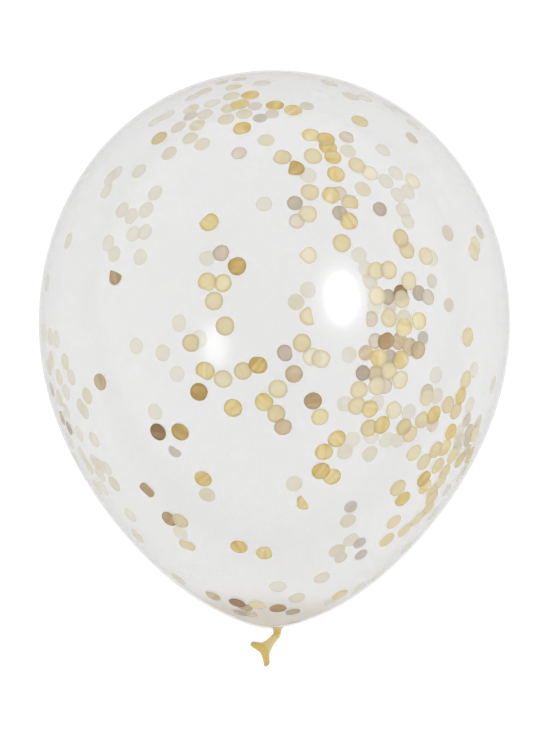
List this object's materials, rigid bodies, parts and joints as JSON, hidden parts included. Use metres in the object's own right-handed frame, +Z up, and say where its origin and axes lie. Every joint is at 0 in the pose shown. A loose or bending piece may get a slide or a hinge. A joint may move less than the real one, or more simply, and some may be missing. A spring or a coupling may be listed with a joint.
{
  "type": "confetti balloon",
  "caption": "Round inflated latex party balloon with a tied neck and fish tail, lying on its side on a small flat spot; clear film for confetti inside.",
  "frame": {"origin": "centre of the small flat spot on the underside, where the balloon rests", "axes": "+Y towards the crown along the floor, -Y towards the knot and tail, +Z up, +X to the right seen from above with the crown away"},
  "size_m": [0.29, 0.3606, 0.2902],
  "materials": {
    "clear_latex": "clear, slightly milky stretched latex with a smooth gloss",
    "amber_latex": "thick unstretched natural latex, satin, at neck, knot and tail",
    "gold_foil": "gold foil confetti paper, satin metallic",
    "champagne_foil": "pale champagne foil confetti paper, satin metallic",
    "bronze_foil": "foil confetti turned from the light, bronze brown",
    "pewter_foil": "foil confetti back, grey beige paper"
  },
  "bodies": {
    "root": {"balloon": "clear_latex"}
  },
  "joints": []
}
